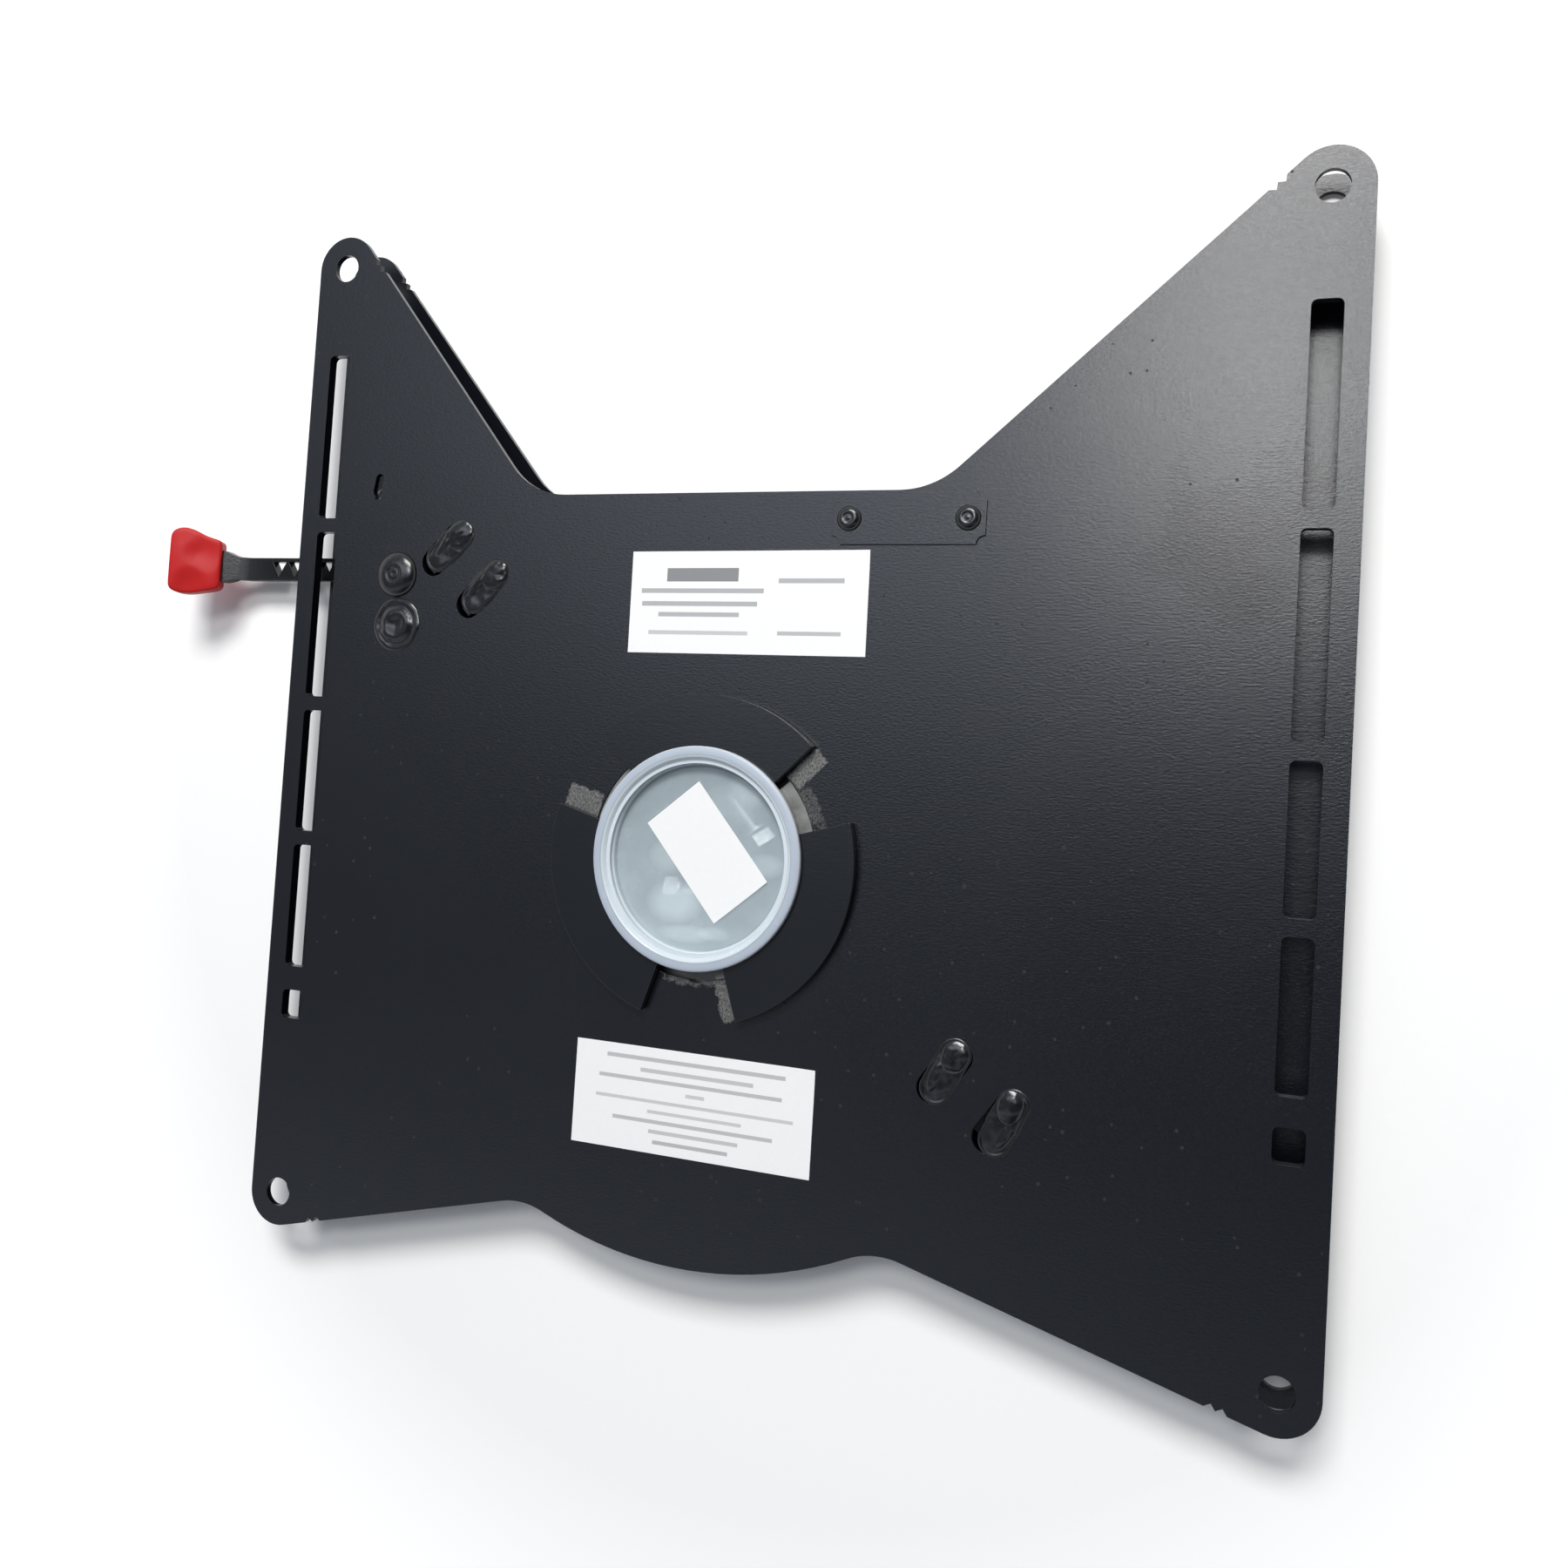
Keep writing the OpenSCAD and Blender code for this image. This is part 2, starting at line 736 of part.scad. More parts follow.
module pivot_spacer() {
    color([0.5, 0.51, 0.53])
        translate([pivot[0], pivot[1], lever_top + run_gap])
            sleeve(shank_r, spacer_r, upper_z - lever_top - run_gap);
}

module pivot_washer() {
    color([0.5, 0.51, 0.53])
        translate([pivot[0], pivot[1], lever_bottom - run_gap - washer_t])
            sleeve(shank_r, spacer_r, washer_t);
}

// Small bare plate with hollow corners, for two dome rivets
module blank_plate() {
    color([0.15, 0.16, 0.18])
        translate([blank_mid[0], blank_mid[1], face_z])
            linear_extrude(blank_t)
                difference() {
                    square([blank_l, blank_w], center = true);
                    for (x = [-1, 1])
                        for (y = [-1, 1])
                            translate([x * blank_l / 2, y * blank_w / 2])
                                circle(r = 3.4, $fn = 36);
                }
}

module blank_rivets() {
    color([0.16, 0.17, 0.19])
        for (x = [-1, 1])
            translate([blank_mid[0] + x * blank_rivet_x, blank_mid[1], face_z + blank_t])
                rotate_extrude($fn = 48)
                    polygon([[0, 0], [1, 0], [0.96, 0.15], [0.77, 0.32], [0.43, 0.43], [0, 0.47]]
                        * blank_rivet_r);
}

module sticker(p) {
    color([0.95, 0.95, 0.95])
        translate([p[0], p[1], face_z])
            linear_extrude(sticker_t)
                square([sticker_l, sticker_w], center = true);
}

module sticker_front() {
    sticker(upper_sticker);
}

module sticker_rear() {
    sticker(lower_sticker);
}

// Flat lever: boss on the pivot, arm to the fork, stop lobe and a bar with triangular holes
module lever_outline() {
    arm = fork_point() - pivot;
    difference() {
        union() {
            translate(pivot)
                circle(r = boss_r, $fn = 72);
            translate([-bend_left, bar_y - bar_w / 2])
                square([bend_left - pivot_left, bar_w]);
            translate([-bend_left, bar_y])
                polygon([[1, -bar_w / 2], [1, bar_w / 2], [-4, bar_w / 2], [-6.5, bar_w / 2 + 1],
                    [-9, tongue_up - 0.4], [-10.5, tongue_up], [-tongue_l, tongue_up],
                    [-tongue_l, -tongue_down], [-9.5, -tongue_down], [-7, -bar_w / 2 - 1],
                    [-5, -bar_w / 2]]);
            translate(pivot)
                rotate(atan2(arm[1], arm[0])) {
                    translate([0, -fork_r])
                        square([norm(arm), 2 * fork_r]);
                    translate([norm(arm), 0])
                        circle(r = fork_r, $fn = 48);
                }
            translate(pivot)
                rotate(222) {
                    translate([0, -5])
                        square([15, 10]);
                    translate([15, 0])
                        circle(r = 5, $fn = 36);
                }
        }
        translate(pivot)
            circle(r = shank_r + 0.1, $fn = 48);
        translate(fork_point())
            rotate(atan2(arm[1], arm[0]))
                stadium(2 * cross_r + 3, 2 * cross_r + 0.8);
        for (i = [0:tri_count - 1])
            translate([-bend_left + 13.8 + i * tri_pitch + tri_side / 2, bar_y + bar_w / 2 - 1.8])
                polygon([[-tri_side / 2, 0], [tri_side / 2, 0], [0, -0.87 * tri_side]]);
        translate([spring_x, bar_y + 2.2])
            circle(r = 1.2, $fn = 24);
    }
}

function fork_point() = hub + pivot_along * pin_dir;

// The lever's side: flat to the bend, then rising to its end
module lever_side() {
    rise = sin(bend_deg) * tongue_l;
    far = -bend_left - cos(bend_deg) * tongue_l;
    half = tan(bend_deg / 2) * bar_t;
    polygon([[0, lever_bottom], [0, lever_top], [-bend_left + half, lever_top],
        [far + sin(bend_deg) * bar_t, lever_top + rise - half * sin(bend_deg)],
        [far, lever_bottom + rise], [-bend_left, lever_bottom]]);
}

module lever() {
    color([0.16, 0.17, 0.18])
        intersection() {
            translate([0, 0, lever_bottom - 2])
                linear_extrude(30)
                    lever_outline();
            translate([0, pivot[1] + 60, 0])
                rotate([90, 0, 0])
                    linear_extrude(120)
                        lever_side();
        }
}

// Moulded grip: rounded pillow on the tongue, wider at its outer end, with a thumb dish
module grip() {
    r = grip_t / 2 - 2;
    near = grip_w / 2 - 4.2;
    color([0.8, 0.15, 0.17])
        translate([-bend_left, bar_y + grip_aside, lever_bottom])
            rotate([0, bend_deg, 0])
                translate([-grip_at, 0, bar_t / 2])
                    difference() {
                        hull() {
                            for (p = [[-r, near - r], [-r, -near + r],
                                    [-grip_l * 0.6, grip_w / 2 - 1 - r],
                                    [-grip_l + 2.5 + r, grip_w / 2 - r],
                                    [-grip_l + r, -1], [-grip_l + r + 0.5, -grip_w / 2 + 2 + r],
                                    [-grip_l + 6 + r, -grip_w / 2 + r]])
                                translate([p[0], p[1], 0])
                                    scale([1, 1, grip_t / 2 / r])
                                        sphere(r = r, $fn = 24);
                        }
                        translate([-grip_l * 0.42, -2, 62 + grip_t / 2 - 1.4])
                            sphere(r = 62, $fn = 72);
                        translate([grip_at - tongue_l - 0.6, -tongue_down - grip_aside, -bar_t / 2])
                            cube([tongue_l, tongue_up + tongue_down, bar_t]);
                    }
}

// Lock pin: chamfered tip, long round body, and a fork for the lever's arm at its tail
module lock_pin() {
    tail = pivot_along + fork_tail;
    slot_start = pivot_along - fork_r - 2.4;
    slot_h = bar_t + 2 * fork_gap;
    color([0.6, 0.61, 0.63])
        at_polar(pin_deg, 0, lock_z)
            difference() {
                rotate([0, 90, 0])
                    rotate_extrude($fn = 48)
                        polygon([[0, pin_tip], [pin_r - 1.5, pin_tip], [pin_r, pin_tip + 3],
                            [pin_r, tail - 1], [pin_r - 1, tail], [0, tail]]);
                translate([slot_start, -pin_r - 1, -slot_h / 2])
                    cube([tail - slot_start + 1, 2 * pin_r + 2, slot_h]);
                translate([pivot_along, 0, -pin_r - 1])
                    cylinder(r = cross_r, h = 2 * pin_r + 2, $fn = 36);
            }
}

module cross_pin() {
    color([0.6, 0.61, 0.63])
        at_polar(pin_deg, pivot_along, lock_z - pin_r + 0.2)
            cylinder(r = cross_r, h = 2 * pin_r - 0.4, $fn = 36);
}

// Close-wound spring swept as one wire, with a hook at each end
spring_y0 = bar_y + 6;
spring_y1 = spring_hook_y - 4;
spring_steps = coils * 10;
function coil_point(i) =
    let (a = i * 36, y = spring_y0 + (spring_y1 - spring_y0) * i / spring_steps)
    [spring_x + spring_r * sin(a), y, spring_z + spring_r * cos(a)];
spring_path = concat(
    [[spring_x, bar_y + 2.2, lever_bottom - 0.8], [spring_x, bar_y + 2.2, lever_top + 0.2],
        [spring_x, bar_y + 3, lever_top + 3.4], [spring_x, bar_y + 4.6, lever_top + 5.2]],
    [for (i = [0:spring_steps]) coil_point(i)],
    [[spring_x, spring_y1 + 1.6, spring_z + spring_r + 0.2],
        [spring_x + 1.2, spring_hook_y - 1.2, upper_z + 0.6],
        [spring_x + 1.3, spring_hook_y + 0.2, upper_z + 1.8],
        [spring_x + 1.3, spring_hook_y + 1.6, upper_z + 0.4]]);

function along(p, i) =
    let (n = len(p), d = p[min(n - 1, i + 1)] - p[max(0, i - 1)])
    d / norm(d);
function wire_ring(p, i) =
    let (d = along(p, i), ref = abs(d[1]) > 0.85 ? [0, 0, 1] : [0, 1, 0],
        s0 = cross(ref, d), s = s0 / norm(s0), t = cross(d, s))
    [for (k = [0:5]) p[i] + wire_r * (cos(60 * k) * s + sin(60 * k) * t)];

module return_spring() {
    n = len(spring_path);
    color([0.6, 0.61, 0.63])
        polyhedron(
            points = [for (i = [0:n - 1]) each wire_ring(spring_path, i)],
            faces = concat(
                [[for (k = [0:5]) k]],
                [for (i = [0:n - 2]) for (k = [0:5]) for (h = [0, 1]) h == 0
                    ? [6 * i + k, 6 * i + 6 + k, 6 * i + 6 + (k + 1) % 6]
                    : [6 * i + k, 6 * i + 6 + (k + 1) % 6, 6 * i + (k + 1) % 6]],
                [[for (k = [5:-1:0]) 6 * (n - 1) + k]]));
}

lower_plate();
hub_tube();
disc_spacer();
lock_disc();
carrier_ring();
slide_pad_right();
slide_pad_left();
retaining_ring();
tub_body();
tub_lid();
tub_sticker();
fixing_bolts();
fixing_washers();
upper_plate();
doubler_left();
doubler_right();
pin_guide_inner();
pin_guide_outer();
glide_web_inner();
glide_web_outer();
glide_shoe();
plug_welds();
stop_stud();
stud_weld();
pivot_rivet();
pivot_spacer();
pivot_washer();
blank_plate();
blank_rivets();
sticker_front();
sticker_rear();
lever();
grip();
lock_pin();
cross_pin();
return_spring();
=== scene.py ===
"""Looks of the swivel seat base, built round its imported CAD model. Lengths are in metres."""

import math

import bpy
from mathutils import Matrix, Vector


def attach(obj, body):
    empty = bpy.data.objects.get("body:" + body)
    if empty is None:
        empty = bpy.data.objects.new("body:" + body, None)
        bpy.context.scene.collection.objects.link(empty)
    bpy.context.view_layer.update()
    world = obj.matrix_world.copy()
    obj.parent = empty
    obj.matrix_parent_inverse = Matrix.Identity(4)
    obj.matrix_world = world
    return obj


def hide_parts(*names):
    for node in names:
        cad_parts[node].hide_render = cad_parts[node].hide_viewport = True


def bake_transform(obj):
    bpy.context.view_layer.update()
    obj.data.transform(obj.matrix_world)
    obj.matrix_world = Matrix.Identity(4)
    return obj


MM = 0.001

# Places on the seat plate, in millimetres
PLATE_TOP = 23
HUB = (-15, -44)
PIVOT = (-167, 67)
STUD = (-165.3, 45.2)
BLANK_MID = (61.4, 90)
BLANK_RIVET_OUT = 23.2
STICKER_FRONT = (-2.8, 57.1)
STICKER_REAR = (-13, -140.6)

# Where the lever bends up, and by how much
BEND = (-257, 70.4, 9)
BEND_DEG = 28

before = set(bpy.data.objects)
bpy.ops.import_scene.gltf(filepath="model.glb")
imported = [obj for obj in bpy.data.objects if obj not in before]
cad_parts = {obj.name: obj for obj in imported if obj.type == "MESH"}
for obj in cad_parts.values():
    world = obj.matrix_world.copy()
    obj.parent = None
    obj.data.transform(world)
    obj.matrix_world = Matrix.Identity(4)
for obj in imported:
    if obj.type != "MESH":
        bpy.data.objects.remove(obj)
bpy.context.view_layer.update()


# Hand tools


def release():
    bpy.ops.object.select_all(action="DESELECT")


def take(piece):
    release()
    piece.select_set(True)
    bpy.context.view_layer.objects.active = piece


def edit(piece):
    take(piece)
    bpy.ops.object.mode_set(mode="EDIT")


def leave():
    bpy.ops.object.mode_set(mode="OBJECT")


def settle(piece):
    """Puts the piece's place and turn into its mesh."""
    take(piece)
    bpy.ops.object.transform_apply(location=True, rotation=True, scale=True)


def work(piece, kind, **settings):
    """Adds a modifier and applies it."""
    take(piece)
    step = piece.modifiers.new(kind.lower(), kind)
    for key, value in settings.items():
        setattr(step, key, value)
    bpy.ops.object.modifier_apply(modifier=step.name)


def smooth(piece, degrees=35):
    take(piece)
    bpy.ops.object.shade_smooth_by_angle(angle=math.radians(degrees))


def added(name):
    piece = bpy.context.object
    piece.name = piece.data.name = name
    return piece


def joined(name, pieces):
    release()
    for p in pieces:
        p.select_set(True)
    bpy.context.view_layer.objects.active = pieces[0]
    bpy.ops.object.join()
    return added(name)


def coat(piece, finish):
    piece.data.materials.clear()
    piece.data.materials.append(finish)


def fit(piece, body, slot, finish, *nodes):
    """Gives a piece its material, hides the CAD nodes it stands for and ties it to the body it
    moves with. The slot is not used.
    """
    coat(piece, finish)
    if nodes:
        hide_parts(*nodes)
    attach(piece, body)


def choose(piece, near):
    """Selects the points whose place in millimetres passes near, and goes on in edit mode."""
    edit(piece)
    bpy.ops.mesh.select_mode(type="VERT")
    bpy.ops.mesh.select_all(action="DESELECT")
    leave()
    for v in piece.data.vertices:
        v.select = near(*(v.co / MM))
    edit(piece)


def pull(piece, near, by, reach, falloff="SMOOTH"):
    """Moves the chosen points by millimetres and carries what lies within reach along with them."""
    choose(piece, near)
    bpy.ops.transform.translate(
        value=Vector(by) * MM,
        use_proportional_edit=True,
        proportional_edit_falloff=falloff,
        proportional_size=reach * MM,
    )
    leave()


def drawn(name, points):
    """A line through points in millimetres, drawn by extruding one point after another."""
    bpy.ops.mesh.primitive_plane_add(size=MM)
    piece = added(name)
    edit(piece)
    bpy.ops.mesh.select_mode(type="VERT")
    bpy.ops.mesh.select_all(action="SELECT")
    bpy.ops.mesh.merge(type="CENTER")
    bpy.ops.transform.translate(value=Vector(points[0]) * MM)
    for a, b in zip(points, points[1:]):
        step = (Vector(b) - Vector(a)) * MM
        bpy.ops.mesh.extrude_vertices_move(TRANSFORM_OT_translate={"value": step})
    leave()
    return piece


def turned(name, middle, profile, steps=72):
    """A round piece spun from its profile of radius and height in millimetres."""
    piece = drawn(name, [(r, 0, z) for r, z in profile])
    edit(piece)
    bpy.ops.mesh.select_all(action="SELECT")
    bpy.ops.mesh.spin(steps=steps, angle=2 * math.pi, center=(0, 0, 0), axis=(0, 0, 1))
    bpy.ops.mesh.select_all(action="SELECT")
    bpy.ops.mesh.remove_doubles(threshold=0.00001)
    bpy.ops.mesh.normals_make_consistent(inside=False)
    leave()
    piece.location = (middle[0] * MM, middle[1] * MM, 0)
    settle(piece)
    return piece


def copied(node, name):
    """A merged copy of a CAD node's mesh."""
    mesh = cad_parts[node].data.copy()
    mesh.name = name
    piece = bpy.data.objects.new(name, mesh)
    bpy.context.scene.collection.objects.link(piece)
    edit(piece)
    bpy.ops.mesh.select_all(action="SELECT")
    bpy.ops.mesh.remove_doubles(threshold=0.00002)
    leave()
    return piece


def broken_edge(node, name, width, turn=40):
    """A copy of a CAD node with its sharp edges rounded off, as on the real pressed piece."""
    piece = copied(node, name)
    edit(piece)
    bpy.ops.mesh.select_all(action="SELECT")
    bpy.ops.mesh.dissolve_limited(angle_limit=math.radians(0.5))
    leave()
    work(
        piece,
        "BEVEL",
        width=width * MM,
        segments=3,
        limit_method="ANGLE",
        angle_limit=math.radians(turn),
    )
    smooth(piece, 30)
    work(piece, "WEIGHTED_NORMAL", weight=100, keep_sharp=True)
    return piece


# Finishes


class Wire:
    """A shader socket that takes part in arithmetic."""

    def __init__(self, finish, socket):
        self.finish = finish
        self.socket = socket

    def math(self, operation, *values):
        made = self.finish.node("Math", {"operation": operation}, dict(enumerate(values)))
        return made["Value"]

    def __add__(self, other):
        return self.math("ADD", self, other)

    def __radd__(self, other):
        return self.math("ADD", other, self)

    def __sub__(self, other):
        return self.math("SUBTRACT", self, other)

    def __rsub__(self, other):
        return self.math("SUBTRACT", other, self)

    def __mul__(self, other):
        return self.math("MULTIPLY", self, other)

    def __rmul__(self, other):
        return self.math("MULTIPLY", other, self)

    def __truediv__(self, other):
        return self.math("DIVIDE", self, other)

    def __gt__(self, other):
        return self.math("GREATER_THAN", self, other)

    def __lt__(self, other):
        return self.math("LESS_THAN", self, other)

    def root(self):
        return self.math("SQRT", self)

    def size(self):
        return self.math("ABSOLUTE", self)

    def most(self, other):
        return self.math("MAXIMUM", self, other)

    def held(self):
        """Kept between 0 and 1."""
        return self.math("MINIMUM", self.math("MAXIMUM", self, 0.0), 1.0)


class Finish:
    """A material or the studio's light under construction."""

    def __init__(self, name, kind=bpy.data.materials):
        self.material = kind.new(name)
        self.material.use_nodes = True
        self.tree = self.material.node_tree
        self.tree.nodes.clear()

    def node(self, kind, settings=None, inputs=None):
        made = self.tree.nodes.new("ShaderNode" + kind)
        for key, value in (settings or {}).items():
            setattr(made, key, value)
        for key, value in (inputs or {}).items():
            if isinstance(value, Wire):
                self.tree.links.new(value.socket, made.inputs[key])
            else:
                made.inputs[key].default_value = value
        return {s.name: Wire(self, s) for s in reversed(made.outputs)}

    def place(self, scale=(1, 1, 1)):
        """Object coordinates, stretched by scale."""
        here = self.node("TexCoord")["Object"]
        return self.node("Mapping", None, {"Vector": here, "Scale": scale})["Vector"]

    def grain(self, size, detail=2.0, rough=0.5, at=None):
        """Noise from 0 to 1 whose cells are about size millimetres across."""
        inputs = {"Vector": at or self.place(), "Scale": 1 / (size * MM)}
        inputs.update({"Detail": detail, "Roughness": rough})
        return self.node("TexNoise", None, inputs)["Fac"]

    def mix(self, factor, a, b):
        """Colour a where factor is 0 and b where it is 1."""
        made = self.tree.nodes.new("ShaderNodeMix")
        made.data_type = "RGBA"
        for index, value in ((0, factor), (6, a), (7, b)):
            if isinstance(value, Wire):
                self.tree.links.new(value.socket, made.inputs[index])
            elif index:
                made.inputs[index].default_value = (*value, 1)
            else:
                made.inputs[index].default_value = value
        return Wire(self, made.outputs[2])

    def bump(self, height, strength, depth):
        inputs = {"Height": height, "Strength": strength, "Distance": depth * MM}
        return self.node("Bump", None, inputs)["Normal"]

    def surface(self, **inputs):
        """The closing shader. Colours are written as three numbers."""
        named = {}
        for key, value in inputs.items():
            name = key.replace("_", " ").title().replace("Ior", "IOR")
            if isinstance(value, tuple):
                value = (*value, 1)
            named[name] = value
        shader = self.node("BsdfPrincipled", None, named)["BSDF"]
        self.node("OutputMaterial", None, {"Surface": shader})
        return self.material


def window(value, low, high, soft):
    """1 between low and high, falling to 0 over soft on either side."""
    return ((value - low) / soft).held() * ((high - value) / soft).held()


BLACK = (0.0033, 0.0041, 0.0066)
# Painted sheen: the grey painted on the lever's sloped neck for the light it catches
NECK_PAINTED_SHEEN = (0.032, 0.033, 0.035)


def powder_coat(
    name, tint=BLACK, gloss=0.17, peel=1.0, pits=0.0, rubbed=None, neck=None, shine=0.5
):
    """Satin black powder coat with orange peel.

    It may have a few pits, steel rubbed bare, and a painted sheen: a lever's neck painted greyer
    left of its x.
    """
    f = Finish(name)
    slow = f.grain(70, 2.0)
    skin = f.grain(1.0, 3.0, 0.65, f.place((0.6, 1.3, 1)))
    dust = f.grain(0.35, 1.0)
    colour = f.mix(slow, tuple(c * 0.85 for c in tint), tuple(c * 1.2 for c in tint))
    rough = gloss + 0.06 * slow + 0.05 * dust
    height = skin + 0.3 * dust
    if pits:
        flat = {"feature": "F1", "voronoi_dimensions": "2D"}
        spots = f.node("TexVoronoi", flat, {"Vector": f.place(), "Scale": 70.0})
        pit = (spots["Distance"] < pits * f.grain(9, 1.0)) * (f.grain(45, 1.0) > 0.53)
        colour = f.mix(pit, colour, (0.002, 0.002, 0.002))
        rough = rough + 0.45 * pit
        height = height - 2 * pit
    metal = 0.0
    if rubbed:
        worn = rubbed(f)
        scratch = f.grain(0.7, 4.0, 0.75, f.place((1.6, 0.7, 1)))
        steel = f.mix((scratch * 3 - 1).held(), (0.03, 0.03, 0.028), (0.27, 0.265, 0.25))
        colour = f.mix(worn, colour, steel)
        rough = rough + worn * (0.5 - rough)
        metal = 0.4 * worn
    if neck:
        # Painted sheen: the neck left of its x is painted greyer, for the light its slope catches
        x = f.node("SeparateXYZ", None, {"Vector": f.place()})["X"] / MM
        colour = f.mix(((neck - x) / 2.5).held(), colour, NECK_PAINTED_SHEEN)
    normal = f.bump(height, 0.5 * peel, 0.16)
    return f.surface(
        base_color=colour, roughness=rough, metallic=metal, normal=normal, specular_ior_level=shine
    )


# Rubbed patches round the hub: direction in degrees, width and strength
RUBBED_BESIDE = ((45, 7.4, 0.95), (165, 10, 1.0), (288, 6.6, 0.85))
# Direction and half angle in degrees, inner and outer radius, strength
RUBBED_ARCS = ((28, 10, 47, 53.8, 0.38), (271, 16, 46, 50.6, 0.9))


def rubbed_round_hub(f):
    """Where the ring has rubbed the seat plate bare: beside each lobe and along the bore."""
    xyz = f.node("SeparateXYZ", None, {"Vector": f.place()})
    x = xyz["X"] / MM - HUB[0]
    y = xyz["Y"] / MM - HUB[1]
    ragged = 4.5 * (f.grain(2.8, 4.0, 0.75) - 0.5)
    radius = (x * x + y * y).root() + 1.6 * ragged
    worn = 0.0
    for start, wide, strength in RUBBED_BESIDE:
        c, s = math.cos(math.radians(start)), math.sin(math.radians(start))
        out = x * c + y * s + ragged
        aside = x * s - y * c + ragged
        patch = window(aside, -0.5, wide, 0.7) * window(out, 48, 64.5, 0.8)
        worn = patch * strength + worn
    for middle, half, low, high, strength in RUBBED_ARCS:
        c, s = math.cos(math.radians(middle)), math.sin(math.radians(middle))
        ahead = (x * c + y * s) / radius
        arc = (ahead > math.cos(math.radians(half))) * window(radius, low, high, 1.2)
        worn = worn + arc * strength
    flecks = (f.grain(1.0, 4.0, 0.8, f.place((1.5, 0.8, 1))) * 7 - 2.8).held()
    top = xyz["Z"] > (PLATE_TOP - 0.1) * MM
    return (worn * (0.25 + 1.1 * flecks)).held() * top


def weld_coat():
    """Glossy paint over weld metal."""
    f = Finish("weld_coat")
    ripple = f.grain(4.5, 3.0, 0.55)
    fine = f.grain(0.6, 2.0)
    colour = f.mix(ripple, (0.0035, 0.004, 0.005), (0.009, 0.0095, 0.011))
    return f.surface(
        base_color=colour,
        roughness=0.14 + 0.1 * fine,
        normal=f.bump(ripple + 0.12 * fine, 0.3, 0.3),
    )


def worn_rivet():
    """Satin paint with a scuffed crown."""
    f = Finish("worn_rivet")
    xyz = f.node("SeparateXYZ", None, {"Vector": f.place()})
    scuff = f.grain(1.4, 3.0, 0.6)
    crown = ((xyz["Z"] / MM - 25.2) / 0.6).held() * (scuff * 3 - 1.5).held()
    colour = f.mix(crown, (0.004, 0.0045, 0.0055), (0.03, 0.03, 0.033))
    return f.surface(
        base_color=colour,
        roughness=0.16 + 0.12 * scuff,
        metallic=0.2 * crown,
        normal=f.bump(scuff, 0.12, 0.12),
    )


def zinc(name, tint, rough):
    """Zinc-plated steel with a faint brushed spangle."""
    f = Finish(name)
    spangle = f.grain(1.6, 3.0, 0.6)
    streak = f.grain(0.5, 2.0, 0.6, f.place((1, 6, 1)))
    colour = f.mix(spangle, tuple(c * 0.8 for c in tint), tint)
    return f.surface(
        base_color=colour,
        metallic=0.95,
        roughness=rough + 0.14 * streak,
        normal=f.bump(streak, 0.08, 0.05),
    )


def oiled_steel():
    """Dark rolled steel with grease smears."""
    f = Finish("oiled_steel")
    smear = f.grain(14, 4.0, 0.65)
    fine = f.grain(0.7, 3.0)
    colour = f.mix(smear, (0.09, 0.088, 0.085), (0.2, 0.195, 0.185))
    return f.surface(
        base_color=colour,
        metallic=0.85,
        roughness=0.3 + 0.25 * smear,
        normal=f.bump(fine, 0.12, 0.08),
    )


def slide_plastic():
    """Light-grey slide pad with scuffs and a little old grease."""
    f = Finish("slide_plastic")
    grease = f.grain(6, 4.0, 0.6)
    scuff = f.grain(0.9, 4.0, 0.7)
    colour = f.mix((grease * 2.4 - 0.9).held(), (0.22, 0.225, 0.22), (0.1, 0.1, 0.095))
    colour = f.mix((scuff * 3 - 1.9).held(), colour, (0.4, 0.4, 0.39))
    return f.surface(
        base_color=colour,
        roughness=0.42 + 0.2 * scuff,
        normal=f.bump(scuff, 0.12, 0.1),
    )


# Pale contents pressed against the lid: x and y from the hub, half length, half width, strength
CONTENTS = (
    (-13.3, 0, 7, 6, 0.6), (-9.5, -18, 10, 7, 0.9), (-4, -30, 10, 3, 0.6), (20, 28, 8, 6, 0.5),
    (28, -1, 7, 4, 0.6), (12, 22, 10, 7, 0.4), (8, -29, 6, 2.4, 0.5),
)


def clear_plastic(name, band, panel, solid, thin):
    """Milky polypropylene: a denser outer band and bright wall round a thinner middle panel."""
    f = Finish(name)
    xyz = f.node("SeparateXYZ", None, {"Vector": f.place()})
    haze = f.grain(16, 3.0, 0.55)
    x = xyz["X"] / MM - HUB[0]
    y = xyz["Y"] / MM - HUB[1]
    radius = (x * x + y * y).root()
    outer = ((radius - 40.0) / 0.9).held()
    edge = ((radius - 43.3) / 0.3).held()
    wall = window(radius, 36.2, 40.4, 0.5)
    fine = f.grain(0.8, 2.0)
    pale = 0.0
    for cx, cy, long, wide, strength in CONTENTS:
        away = ((x - cx) / long) * ((x - cx) / long) + ((y - cy) / wide) * ((y - cy) / wide)
        pale = pale + ((1.6 - away) * 0.75).held() * strength
    pale = pale * (1 - (outer + wall).held())
    colour = f.mix(haze, tuple(c * 0.85 for c in panel), panel)
    colour = f.mix(pale * 0.55, colour, (0.72, 0.82, 0.86))
    colour = f.mix(wall, colour, (0.7, 0.77, 0.82))
    colour = f.mix(outer, colour, band)
    colour = f.mix(edge, colour, (0.7, 0.74, 0.8))
    return f.surface(
        base_color=colour,
        roughness=0.2 + 0.12 * haze,
        alpha=(thin + 0.16 * (haze - 0.5) + 0.2 * pale + (solid - thin) * (outer + wall)).held(),
        normal=f.bump(fine, 0.05, 0.05),
        ior=1.49,
    )


